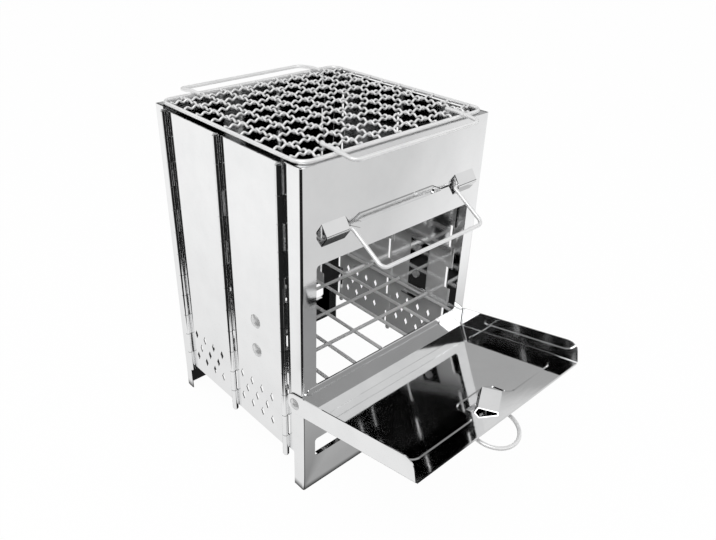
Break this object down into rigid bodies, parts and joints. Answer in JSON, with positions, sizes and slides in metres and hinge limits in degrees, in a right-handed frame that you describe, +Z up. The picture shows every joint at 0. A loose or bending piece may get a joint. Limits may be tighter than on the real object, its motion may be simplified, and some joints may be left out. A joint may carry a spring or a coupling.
{
  "type": "folding grill",
  "caption": "Fold-flat sheet steel camping grill with hinged walls, front door with pull ring, bail, wire fire grate and lift-off wire grill.",
  "frame": {"origin": "on the ground, under the middle of the whole grill with its door open", "axes": "+X across the front to the right seen from the front, +Y from the front to the back, +Z up"},
  "size_m": [0.1958, 0.3262, 0.2863],
  "materials": {
    "sheet": "bright polished stainless sheet",
    "hinge": "rolled stainless, heat dulled",
    "wire": "drawn bright wire",
    "rivet": "steel rivets, satin"
  },
  "bodies": {
    "rear_panel": {"rear_panel": "sheet", "left_rear_hinge_pin": "hinge", "right_rear_hinge_pin": "hinge"},
    "left_rear_wall": {"left_rear_wall": "sheet", "left_middle_hinge_pin": "hinge"},
    "right_rear_wall": {"right_rear_wall": "sheet", "right_middle_hinge_pin": "hinge"},
    "left_front_wall": {"left_front_wall": "sheet", "left_grate_bracket": "sheet", "left_bracket_rivets": "rivet"},
    "right_front_wall": {"right_front_wall": "sheet", "right_grate_bracket": "sheet", "right_bracket_rivets": "rivet"},
    "front_panel": {"front_panel": "sheet", "left_front_hinge_pin": "hinge", "right_front_hinge_pin": "hinge", "left_door_rivet": "rivet", "right_door_rivet": "rivet"},
    "door": {"door": "sheet", "door_catch": "sheet"},
    "door_ring": {"door_ring": "wire"},
    "bail": {"bail_handle": "wire"},
    "fire_grate": {"fire_grate_long_wires": "wire", "fire_grate_cross_wires": "wire"},
    "top_grill": {"grill_frame": "wire", "grill_long_wires": "wire", "grill_cross_wires": "wire", "grill_front_handle": "wire", "grill_rear_handle": "wire"}
  },
  "joints": [
    {"name": "fold", "type": "hinge", "parent": "rear_panel", "child": "left_rear_wall", "pos_m": [-0.09545, 0.13061, 0.15], "axis": [0, 0, 1], "range_deg": [0, 87], "deforming": ["fire_grate_long_wires", "fire_grate_cross_wires"]},
    {"name": "left_middle_fold", "type": "hinge", "parent": "left_rear_wall", "child": "left_front_wall", "pos_m": [-0.09545, 0.05861, 0.15], "axis": [0, 0, 1], "range_deg": [-175, 0]},
    {"name": "left_front_fold", "type": "hinge", "parent": "left_front_wall", "child": "front_panel", "pos_m": [-0.09545, -0.01339, 0.15], "axis": [0, 0, 1], "range_deg": [0, 88]},
    {"name": "right_rear_fold", "type": "hinge", "parent": "rear_panel", "child": "right_rear_wall", "pos_m": [0.09545, 0.13061, 0.15], "axis": [0, 0, 1], "range_deg": [-88, 0]},
    {"name": "right_middle_fold", "type": "hinge", "parent": "right_rear_wall", "child": "right_front_wall", "pos_m": [0.09545, 0.05861, 0.15], "axis": [0, 0, 1], "range_deg": [0, 175]},
    {"name": "grate_lift", "type": "slide", "parent": "rear_panel", "child": "fire_grate", "axis": [0, 0, 1], "range_m": [0, 0.255]},
    {"name": "grill_lift", "type": "slide", "parent": "fire_grate", "child": "top_grill", "axis": [0, 0, 1], "range_m": [0, 0.1]},
    {"name": "door_hinge", "type": "hinge", "parent": "front_panel", "child": "door", "pos_m": [0, -0.02519, 0.088], "axis": [-1, 0, 0], "range_deg": [0, 78]},
    {"name": "ring_swing", "type": "hinge", "parent": "door", "child": "door_ring", "pos_m": [-0.006, -0.12542, 0.09745], "axis": [1, 0, 0], "range_deg": [-8, 100]},
    {"name": "bail_swing", "type": "hinge", "parent": "front_panel", "child": "bail", "pos_m": [0.0023, -0.03621, 0.2288], "axis": [-1, 0, 0], "range_deg": [-50, 60]}
  ],
  "couplings": [
    {"joint": "left_middle_fold", "follows": "fold", "ratio": -2},
    {"joint": "left_front_fold", "follows": "fold", "ratio": 1},
    {"joint": "right_rear_fold", "follows": "fold", "ratio": -1},
    {"joint": "right_middle_fold", "follows": "fold", "ratio": 2},
    {"joint": "grate_lift", "follows": "fold", "m_per_rad": 0.16464}
  ]
}
